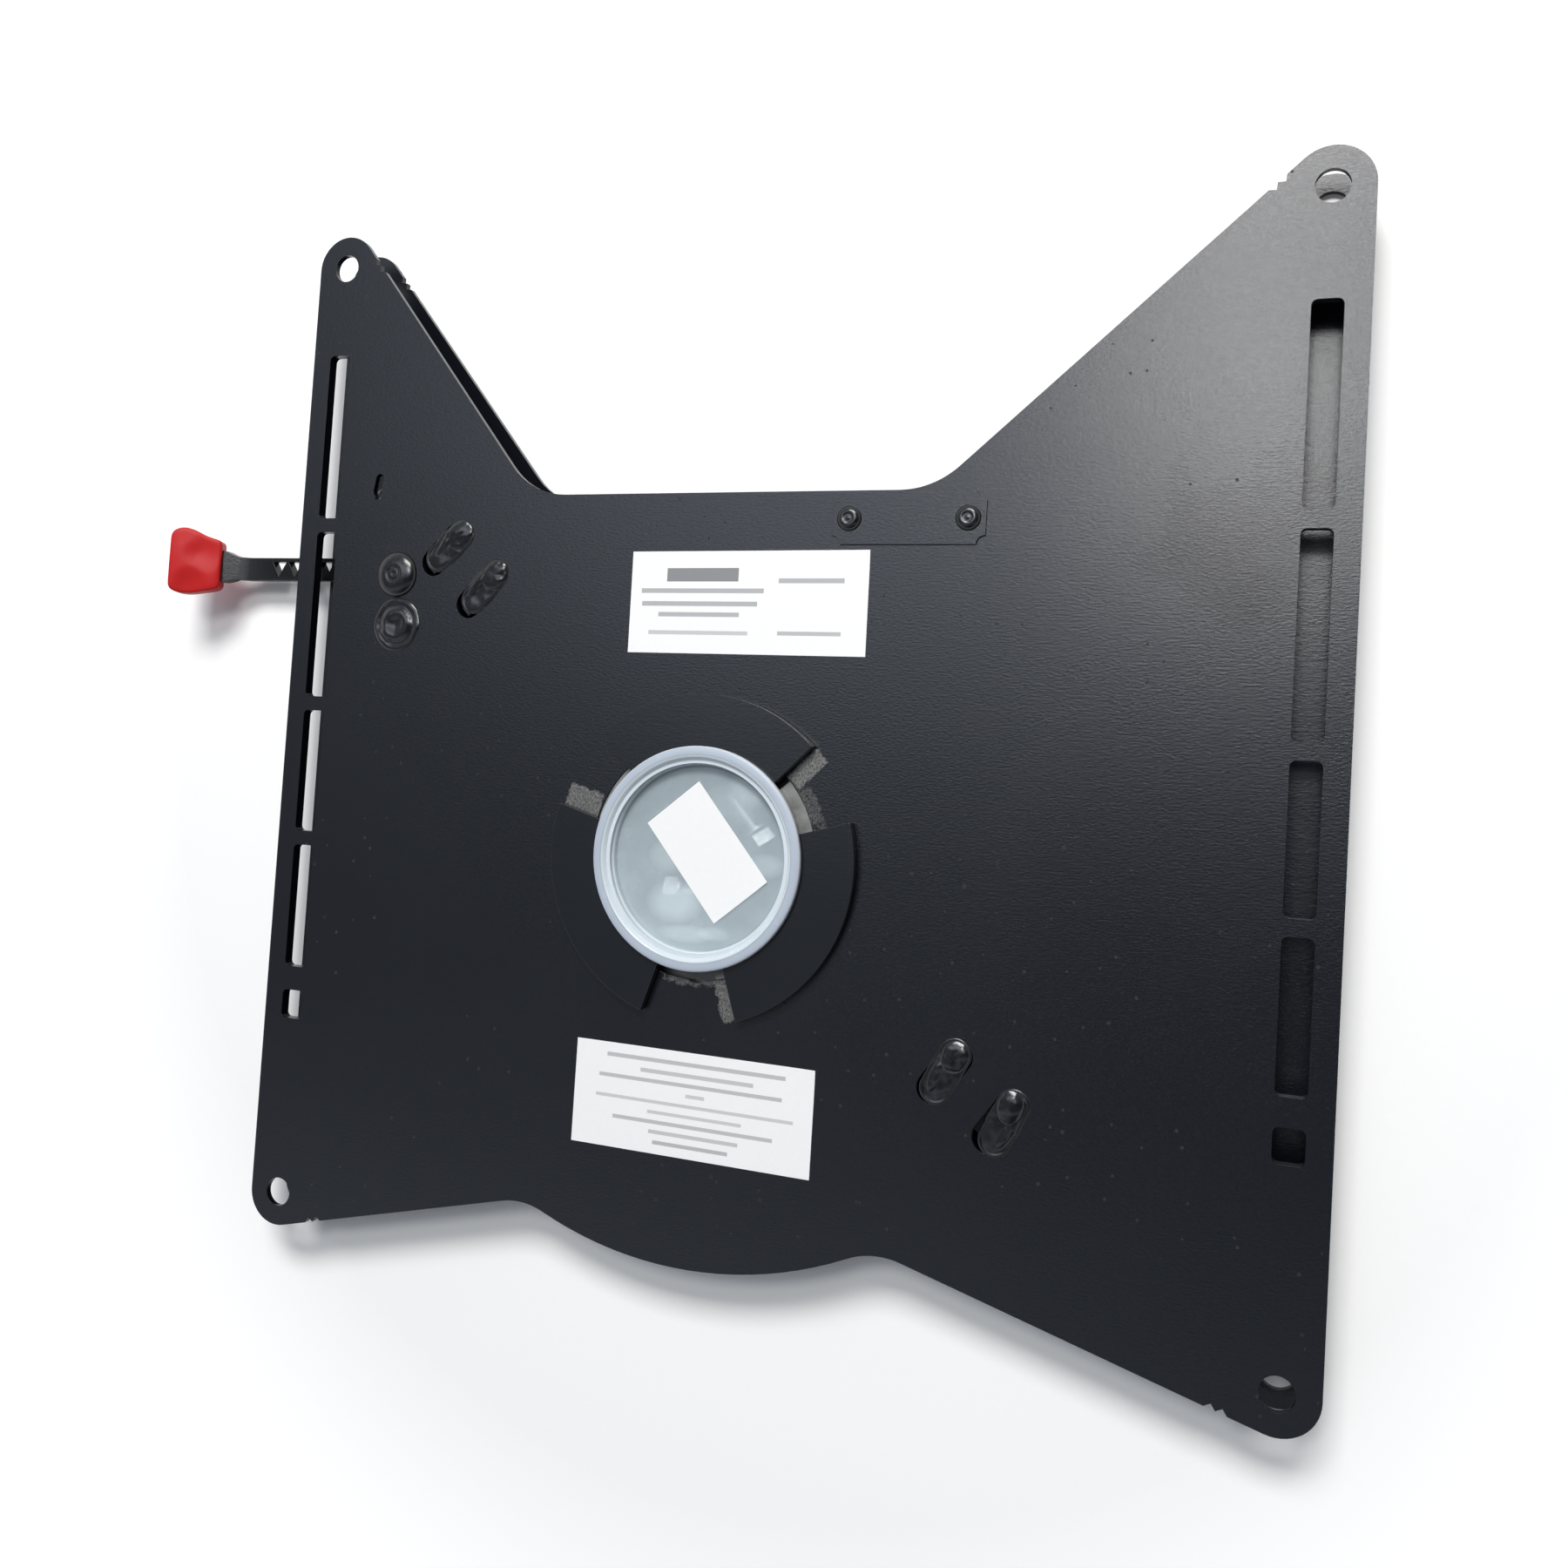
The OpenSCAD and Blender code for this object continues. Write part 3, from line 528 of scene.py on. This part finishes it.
def sticker_film(name, middle, bars, turn=0.0):
    """White film with plain grey bars: x, y, half length, half height and tone."""
    f = Finish(name)
    xyz = f.node("SeparateXYZ", None, {"Vector": f.place()})
    x = xyz["X"] / MM - middle[0]
    y = xyz["Y"] / MM - middle[1]
    c, s = math.cos(math.radians(turn)), math.sin(math.radians(turn))
    u = x * c + y * s
    v = y * c - x * s
    ink = 0.0
    for bx, by, hw, hh, tone in bars:
        ink = ink + ((u - bx).size() < hw) * ((v - by).size() < hh) * tone
    fibre = f.grain(1.5, 3.0)
    colour = f.mix(fibre, (0.86, 0.865, 0.87), (0.9, 0.905, 0.91))
    if bars:
        colour = f.mix(ink, colour, (0.12, 0.12, 0.125))
    return f.surface(
        base_color=colour,
        roughness=0.34 + 0.06 * fibre,
        normal=f.bump(f.grain(5, 2.0), 0.05, 0.1),
    )


def grip_plastic():
    """Moulded red plastic with fine spark grain and slight shine on the ridges."""
    f = Finish("grip_plastic")
    grain = f.grain(0.55, 2.0, 0.6)
    cloud = f.grain(13, 2.0)
    colour = f.mix(cloud, (0.46, 0.011, 0.014), (0.55, 0.023, 0.022))
    return f.surface(
        base_color=colour,
        roughness=0.34 + 0.14 * grain,
        normal=f.bump(grain, 0.14, 0.06),
        specular_ior_level=0.15,
    )


def floor_paper():
    """White paper sweep: lit as paper, and plain white to the camera where nothing shades it."""
    f = Finish("floor_paper")
    fibre = f.grain(3, 2.0)
    white = f.mix(fibre, (0.92, 0.92, 0.915), (0.94, 0.94, 0.93))
    paper = f.node("BsdfDiffuse", None, {"Color": white})["BSDF"]
    xyz = f.node("SeparateXYZ", None, {"Vector": f.place()})
    away = (xyz["X"] * xyz["X"] + xyz["Y"] * xyz["Y"]).root()
    lift = 0.06 + 0.94 * ((away - 0.3) / 0.5).held()
    glow = f.node("Emission", None, {"Color": (1, 1, 1, 1), "Strength": lift})["Emission"]
    seen = f.node("LightPath")
    rays = (seen["Is Camera Ray"] + seen["Is Glossy Ray"] + seen["Is Transmission Ray"]).held()
    dark = f.node("Emission", None, {"Color": (0, 0, 0, 1), "Strength": 0.0})["Emission"]
    shown = f.node("MixShader", None, {0: rays, 1: dark, 2: glow})["Shader"]
    both = f.node("AddShader", None, {0: paper, 1: shown})["Shader"]
    f.node("OutputMaterial", None, {"Surface": both})
    return f.material


coat_plate = powder_coat("coat_plate", pits=0.075, rubbed=rubbed_round_hub)
coat_black = powder_coat("coat_black", pits=0.075)
coat_ring = powder_coat("coat_ring", tint=(0.0045, 0.0055, 0.0075), gloss=0.17, peel=0.5)
coat_lever = powder_coat(
    "coat_lever", tint=(0.0036, 0.0038, 0.0042), peel=0.8, neck=-256.5, shine=0.3
)
weld_black = weld_coat()
rivet_black = worn_rivet()
zinc_plate = zinc("zinc", (0.55, 0.56, 0.58), 0.32)
bolt_zinc = zinc("bolt_zinc", (0.8, 0.86, 0.88), 0.3)
spring_zinc = zinc("spring_wire", (0.62, 0.62, 0.64), 0.25)
bare_steel = oiled_steel()
pad_plastic = slide_plastic()


# Plates, ring and the pieces between them

upper = broken_edge("upper_plate", "seat_plate_coated", 0.35)
fit(upper, "seat_plate", "powder_black", coat_plate, "upper_plate")
lower = broken_edge("lower_plate", "floor_plate_coated", 0.35)
fit(lower, "base", "powder_black", coat_black, "lower_plate")
ring = broken_edge("retaining_ring", "retaining_ring_coated", 0.3)
fit(ring, "base", "powder_black", coat_ring, "retaining_ring")

CARRIED = (
    ("doubler_left", "seat_plate", "powder_black", coat_black, 0.3),
    ("doubler_right", "seat_plate", "powder_black", coat_black, 0.3),
    ("pin_guide_inner", "seat_plate", "powder_black", coat_black, 0.4),
    ("pin_guide_outer", "seat_plate", "powder_black", coat_black, 0.4),
    ("glide_web_inner", "seat_plate", "powder_black", coat_black, 0.3),
    ("glide_web_outer", "seat_plate", "powder_black", coat_black, 0.3),
    ("glide_shoe", "seat_plate", "slide_plastic", pad_plastic, 0.5),
    ("stop_stud", "seat_plate", "powder_black", coat_black, 0.3),
    ("pivot_spacer", "seat_plate", "zinc_steel", zinc_plate, 0.3),
    ("pivot_washer", "seat_plate", "zinc_steel", zinc_plate, 0.2),
    ("blank_plate", "seat_plate", "powder_black", coat_black, 0.15),
    ("hub_tube", "base", "greased_steel", bare_steel, 0.3),
    ("disc_spacer", "base", "greased_steel", bare_steel, 0.3),
    ("lock_disc", "base", "greased_steel", bare_steel, 0.4),
    ("carrier_ring", "base", "greased_steel", bare_steel, 0.3),
    ("slide_pad_right", "base", "slide_plastic", pad_plastic, 0.25),
    ("slide_pad_left", "base", "slide_plastic", pad_plastic, 0.25),
    ("lock_pin", "lock_pin", "zinc_steel", zinc_plate, 0.25),
    ("cross_pin", "lock_pin", "zinc_steel", zinc_plate, 0.2),
    ("lever", "release_lever", "powder_black", coat_lever, 0.45),
    ("fixing_bolts", "base", "zinc_steel", bolt_zinc, 0.4),
    ("fixing_washers", "base", "zinc_steel", zinc_plate, 0.2),
)
for node, body, slot, finish, width in CARRIED:
    fit(broken_edge(node, node + "_finished", width), body, slot, finish, node)

# The spring stretches between the lever and its slot in the seat plate
spring = copied("return_spring", "return_spring_wire")
smooth(spring, 50)
coat(spring, spring_zinc)
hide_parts("return_spring")
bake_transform(spring)


# Welds and rivets on the seat plate


def cloud(name, size):
    """Soft lumps about size millimetres across, for the displace modifier."""
    texture = bpy.data.textures.new(name, "CLOUDS")
    texture.noise_scale = size * MM
    texture.noise_depth = 1
    return texture


bead_swell = cloud("bead_swell", 5.5)
bead_wrinkle = cloud("bead_wrinkle", 2.0)


def lump(x, y, along, across, high, turn):
    """A bead of weld metal: half a ball, squashed, turned and swollen unevenly."""
    bpy.ops.mesh.primitive_uv_sphere_add(segments=48, ring_count=28, radius=MM)
    piece = added("bead")
    piece.scale = (along, across, high)
    piece.rotation_euler = (0, 0, math.radians(turn))
    piece.location = (x * MM, y * MM, PLATE_TOP * MM)
    settle(piece)
    edit(piece)
    bpy.ops.mesh.select_all(action="SELECT")
    bpy.ops.mesh.bisect(
        plane_co=(0, 0, (PLATE_TOP - 0.4) * MM), plane_no=(0, 0, 1), clear_inner=True, use_fill=True
    )
    leave()
    work(piece, "DISPLACE", texture=bead_swell, strength=0.8 * MM, texture_coords="LOCAL")
    work(piece, "DISPLACE", texture=bead_wrinkle, strength=0.22 * MM, texture_coords="LOCAL")
    return piece


WELD_LONG = 27
WELD_WIDE = 12.4
WELD_RISE = 0.25
WELD_SUNK = 1.5


def pool(x, y, turn):
    """The flat glossy fill of a plug weld: an oblong with a soft rim and a sunk middle."""
    bpy.ops.mesh.primitive_circle_add(vertices=48, radius=0.5 * WELD_WIDE * MM, fill_type="NGON")
    piece = added("pool")
    for side in (1, -1):
        choose(piece, lambda px, py, pz: px * side > 0)
        bpy.ops.transform.translate(value=(0.5 * side * (WELD_LONG - WELD_WIDE) * MM, 0, 0))
        leave()
    edit(piece)
    bpy.ops.mesh.select_all(action="SELECT")
    rise = (0, 0, (WELD_RISE + WELD_SUNK) * MM)
    bpy.ops.mesh.extrude_region_move(TRANSFORM_OT_translate={"value": rise})
    bpy.ops.mesh.inset(thickness=0.8 * MM)
    bpy.ops.transform.translate(value=(0, 0, 0.25 * MM))
    bpy.ops.mesh.inset(thickness=1.1 * MM)
    bpy.ops.transform.translate(value=(0, 0, -0.35 * MM))
    bpy.ops.mesh.select_all(action="SELECT")
    bpy.ops.mesh.normals_make_consistent(inside=False)
    leave()
    piece.rotation_euler = (0, 0, math.radians(turn))
    piece.location = (x * MM, y * MM, (PLATE_TOP - WELD_SUNK) * MM)
    settle(piece)
    work(piece, "BEVEL", width=0.3 * MM, segments=2, limit_method="ANGLE", angle_limit=0.5)
    return piece


def plug_weld(x, y, turn, beads):
    """One plug weld; beads are along, across, half length, half width, height and turn."""
    c, s = math.cos(math.radians(turn)), math.sin(math.radians(turn))
    parts = [pool(x, y, turn)]
    for u, v, along, across, high, tilt in beads:
        bx, by = x + u * c - v * s, y + u * s + v * c
        parts.append(lump(bx, by, along, across, high, turn + tilt))
    return parts


# x, y, turn and beads
WELDS = (
    (-141.0, 79.1, 42, (
        (0, 0, 13.2, 6.9, 0.7, 0), (6.6, 0.6, 7.2, 6.2, 1.6, 8), (1.0, 3.0, 9.0, 2.6, 1.2, 14),
    )),
    (-122.3, 62.0, 48, (
        (0, 0, 13.6, 6.9, 0.7, 2), (6.8, -0.2, 7.2, 6.2, 1.7, 12), (0.5, 3.4, 9.4, 2.4, 1.3, 4),
    )),
    (87.5, -113.8, 63, (
        (0, 0, 12.6, 6.3, 0.8, 0), (6.4, -0.4, 6.6, 5.4, 1.8, 4), (-3.4, 2.2, 7.0, 2.6, 1.2, 8),
    )),
    (110.0, -129.3, 65, (
        (0, 0, 12.8, 6.4, 0.8, 0), (6.2, 0.8, 6.8, 5.0, 2.0, 14), (-2.0, -2.6, 8.0, 2.6, 1.2, -6),
    )),
)
beads = []
for x, y, turn, shape in WELDS:
    beads += plug_weld(x, y, turn, shape)
welds = joined("plug_weld_beads", beads)
smooth(welds, 50)
fit(welds, "seat_plate", "weld_black", weld_black, "plug_welds")


stud_profile = (
    (0, 20.6), (11.6, 20.6), (12.0, 22.9), (11.6, 23.3), (10.6, 23.7), (9.6, 23.7), (8.9, 23.3),
    (8.0, 23.4), (6.6, 24.2), (5.0, 24.5), (3.4, 24.2), (1.6, 23.8), (0, 23.7),
)
stud = turned("stud_weld_swirl", STUD, stud_profile)
work(stud, "SUBSURF", levels=1, render_levels=1)
work(stud, "DISPLACE", texture=cloud("swirl", 7), strength=0.8 * MM, texture_coords="LOCAL")
pull(stud, lambda x, y, z: math.dist((x, y), (-171, 40)) < 1.5, (0, 0, 0.5), 4)
smooth(stud, 60)
fit(stud, "seat_plate", "weld_black", weld_black, "stud_weld")

rivet_profile = (
    (0, 5.6), (5.5, 5.6), (7, 6.4), (7, 7.2), (5, 7.2), (5, 23), (9.6, 23), (9.85, 23.25),
    (9.7, 23.8), (9.0, 24.6), (7.8, 25.3), (6.2, 25.85), (4.6, 26.15), (3.7, 26.2), (3.3, 26.0),
    (2.9, 25.9), (2.2, 26.05), (1.4, 26.15), (0.7, 26.0), (0, 25.95),
)
rivet = turned("pivot_rivet_dome", PIVOT, rivet_profile)
smooth(rivet, 50)
fit(rivet, "seat_plate", "weld_black", rivet_black, "pivot_rivet")

small_profile = (
    (0, 23.8), (4.75, 23.8), (4.85, 24.1), (4.6, 24.6), (4.0, 25.15), (3.1, 25.6), (2.4, 25.75),
    (2.0, 25.6), (1.3, 25.45), (0.6, 25.65), (0, 25.7),
)
small = [
    turned("small_rivet", (BLANK_MID[0] + side * BLANK_RIVET_OUT, BLANK_MID[1]), small_profile, 48)
    for side in (-1, 1)
]
small = joined("blank_plate_rivets", small)
smooth(small, 50)
fit(small, "seat_plate", "powder_black", rivet_black, "blank_rivets")


# Stickers


def film(name, middle, long, wide, turn, low, rise):
    """A thin sticker with a soft edge and one corner slightly lifted."""
    bpy.ops.mesh.primitive_grid_add(x_subdivisions=40, y_subdivisions=16, size=MM)
    piece = added(name)
    piece.scale = (long, wide, 1)
    settle(piece)
    work(piece, "SOLIDIFY", thickness=rise * MM, offset=1)
    pull(piece, lambda x, y, z: x > 0.49 * long and y > 0.49 * wide, (0, 0, 0.3), 9, "SHARP")
    work(piece, "BEVEL", width=0.05 * MM, segments=1, limit_method="ANGLE", angle_limit=1.0)
    piece.rotation_euler = (0, 0, math.radians(turn))
    piece.location = (middle[0] * MM, middle[1] * MM, low * MM)
    settle(piece)
    smooth(piece, 30)
    return piece


# Plain grey bars: x, y, half length, half height, tone
FRONT_BARS = (
    (-19, 11.0, 15.5, 2.7, 0.85),
    (-19, 4.6, 26.5, 0.95, 0.6),
    (-20, -0.6, 25.0, 0.95, 0.6),
    (-20, -4.9, 17.5, 0.9, 0.6),
    (-20, -12.2, 21.5, 0.8, 0.45),
    (27, 8.6, 13.5, 0.95, 0.6),
    (27, -12.0, 13.0, 0.8, 0.55),
)
REAR_BARS = (
    (1, 15.8, 38, 0.8, 0.5),
    (2, 11.4, 24, 0.8, 0.45),
    (-1, 7.6, 39, 0.75, 0.5),
    (2, 3.6, 4, 0.7, 0.4),
    (1, -0.4, 42, 0.65, 0.4),
    (2, -4.4, 20, 0.65, 0.4),
    (1, -8.2, 34, 0.75, 0.5),
    (2, -12.0, 19, 0.75, 0.45),
    (1, -16.0, 16, 0.75, 0.55),
)
front = film("front_sticker_film", STICKER_FRONT, 100.5, 41, 0.5, PLATE_TOP, 0.16)
front_film = sticker_film("front_film", STICKER_FRONT, FRONT_BARS, 0.5)
fit(front, "seat_plate", "sticker_white", front_film, "sticker_front")
rear = film("rear_sticker_film", STICKER_REAR, 101.5, 41, 0, PLATE_TOP, 0.16)
rear_film = sticker_film("rear_film", STICKER_REAR, REAR_BARS)
fit(rear, "seat_plate", "sticker_white", rear_film, "sticker_rear")


# Tub of fixings

shell = broken_edge("tub_body", "tub_shell", 0.3)
tub_milk = clear_plastic("tub_milk", (0.34, 0.38, 0.46), (0.24, 0.28, 0.31), 0.8, 0.75)
fit(shell, "base", "tub_plastic", tub_milk, "tub_body")

lid_profile = (
    (0, 23.5), (36.7, 23.5), (37.0, 26.5), (37.1, 28.6), (42.7, 28.6), (42.7, 27.6), (43.6, 27.6),
    (43.8, 27.9), (43.8, 29.7), (43.5, 30.2), (43.0, 30.4), (41.6, 30.45), (40.4, 30.5),
    (39.7, 30.4), (39.3, 30.0), (38.6, 28.6), (37.4, 27.0), (36.4, 26.2), (36.0, 25.4),
    (35.7, 24.8), (35.0, 24.5), (0, 24.5),
)
lid = turned("tub_lid_moulded", HUB, lid_profile, 96)
smooth(lid, 40)
lid_milk = clear_plastic("lid_milk", (0.5, 0.56, 0.65), (0.56, 0.65, 0.69), 0.84, 0.47)
fit(lid, "base", "tub_plastic", lid_milk, "tub_lid")

note = film("tub_note", (HUB[0] + 3, HUB[1] + 2.5), 48.5, 27.8, -49.8, 24.5, 0.16)
fit(note, "base", "sticker_white", sticker_film("note_film", (0, 0), ()), "tub_sticker")


# Grip

# Distance along the sloped tongue from the bend, lower edge and upper edge
GRIP_COLUMNS = (
    (13.7, 60.2, 82.2), (17.5, 58.9, 83.0), (21.3, 58.2, 84.0), (25.1, 57.3, 86.0),
    (28.9, 56.8, 87.2), (32.7, 57.0, 87.2), (36.5, 58.6, 84.9),
)
GRIP_THICK = 9.4
TONGUE_MID = 2
# Distance from the bend, y, depth and reach
THUMB_DISHES = ((20.0, 76.0, 1.2, 10), (26.5, 75.5, 0.4, 6), (27.0, 60.0, 1.4, 10))

bpy.ops.mesh.primitive_cube_add(size=MM)
grip = added("grip_moulded")
columns = len(GRIP_COLUMNS) - 1
first, last = GRIP_COLUMNS[0][0], GRIP_COLUMNS[-1][0]
grip.scale = (last - first, 1, GRIP_THICK)
grip.location = (-0.5 * (first + last) * MM, 0, TONGUE_MID * MM)
settle(grip)
edit(grip)
bpy.ops.mesh.select_all(action="SELECT")
bpy.ops.mesh.subdivide(number_cuts=columns - 1)
leave()
for along, low, high in GRIP_COLUMNS:
    choose(grip, lambda x, y, z: abs(x + along) < 1)
    bpy.ops.transform.resize(value=(1, high - low, 1), center_override=(0, 0, 0))
    bpy.ops.transform.translate(value=(0, (0.5 * (low + high) - BEND[1]) * MM, 0))
    leave()
pull(grip, lambda x, y, z: z > 6 and abs(y) < 9 and -33 < x < -17, (0, 0, 0.7), 7)
work(grip, "SUBSURF", levels=3, render_levels=3)
for along, y, deep, reach in THUMB_DISHES:
    spot = (-along, y - BEND[1])
    pull(grip, lambda px, py, pz: pz > 5 and math.dist((px, py), spot) < 0.5, (0, 0, -deep), reach)
grip.location = (BEND[0] * MM, BEND[1] * MM, BEND[2] * MM)
grip.rotation_euler = (0, math.radians(BEND_DEG), 0)
settle(grip)
smooth(grip, 60)
fit(grip, "release_lever", "grip_red", grip_plastic(), "grip")


# Floor, lights and camera

bpy.ops.mesh.primitive_plane_add(size=6)
floor = added("floor")
coat(floor, floor_paper())


def studio_light():
    """Dim studio with light walls: a white backdrop low down, and a soft curtain to the front."""
    f = Finish("studio", bpy.data.worlds)
    way = f.node("SeparateXYZ", None, {"Vector": f.node("TexCoord")["Generated"]})
    left = (0.0 - way["X"] / 0.38).held()
    front = way["Y"].most(0.0)
    rear = window(way["Y"], -0.64, -0.24, 0.2)
    curtain = window(way["Y"], 0.01, 0.5, 0.2) * window(way["X"], -0.62, 0.4, 0.22)
    level = 0.03 + 0.27 * left + 0.5 * front + 0.75 * rear + 2.8 * curtain
    seen = f.node("LightPath")
    # The room lights the floor less than it shows in the paint, so the shadows stay dark
    level = level * (1 - 0.55 * seen["Is Diffuse Ray"])
    room = f.node("Background", None, {"Color": (0.85, 0.92, 1.04, 1), "Strength": level})
    white = f.node("Background", None, {"Color": (1, 1, 1, 1), "Strength": 1.0})
    rays = (seen["Is Camera Ray"] + seen["Is Glossy Ray"] + seen["Is Transmission Ray"]).held()
    backdrop = rays * ((0.5 - way["Z"]) / 0.1).held()
    both = f.node("MixShader", None, {0: backdrop, 1: room["Background"], 2: white["Background"]})
    f.node("OutputWorld", None, {"Surface": both["Shader"]})
    return f.material


bpy.context.scene.world = studio_light()


def softbox(name, place, aim, size, watts, tint):
    lamp = bpy.data.lights.new(name, "AREA")
    lamp.shape = "RECTANGLE"
    lamp.size, lamp.size_y = size
    lamp.energy = watts
    lamp.color = tint
    holder = bpy.data.objects.new(name, lamp)
    bpy.context.scene.collection.objects.link(holder)
    holder.location = place
    holder.rotation_euler = (Vector(aim) - Vector(place)).to_track_quat("-Z", "Y").to_euler()


softbox("window", (0.1, 1.5, 1.7), (0.0, 0.0, 0), (1.1, 0.6), 47, (1.0, 0.99, 0.97))
softbox("lamp", (0.15, 0.56, 1.5), (0.15, 0.1, 0), (0.4, 0.27), 5.0, (1.0, 0.985, 0.95))

# The camera as solved from the photograph, whose focal length is 1580 of its 1800 pixels
SENSOR = 36
lens = bpy.data.cameras.new("photo_camera")
lens.sensor_width = SENSOR
lens.lens = 1580.42 / 1800 * SENSOR
lens.shift_x = -0.00128
lens.shift_y = -0.04195
lens.clip_start = 0.02
camera = bpy.data.objects.new("photo_camera", lens)
bpy.context.scene.collection.objects.link(camera)
right = Vector((0.9360761, 0.0614762, -0.3463845))
up = Vector((-0.0439827, 0.9973387, 0.0581475))
back = Vector((0.3490373, -0.0391956, 0.9362888))
turn = Matrix((right, up, back)).transposed().to_4x4()
camera.matrix_world = Matrix.Translation((0.20287, -0.00843, 0.52128)) @ turn
bpy.context.scene.camera = camera

bpy.context.scene.view_settings.view_transform = "Standard"
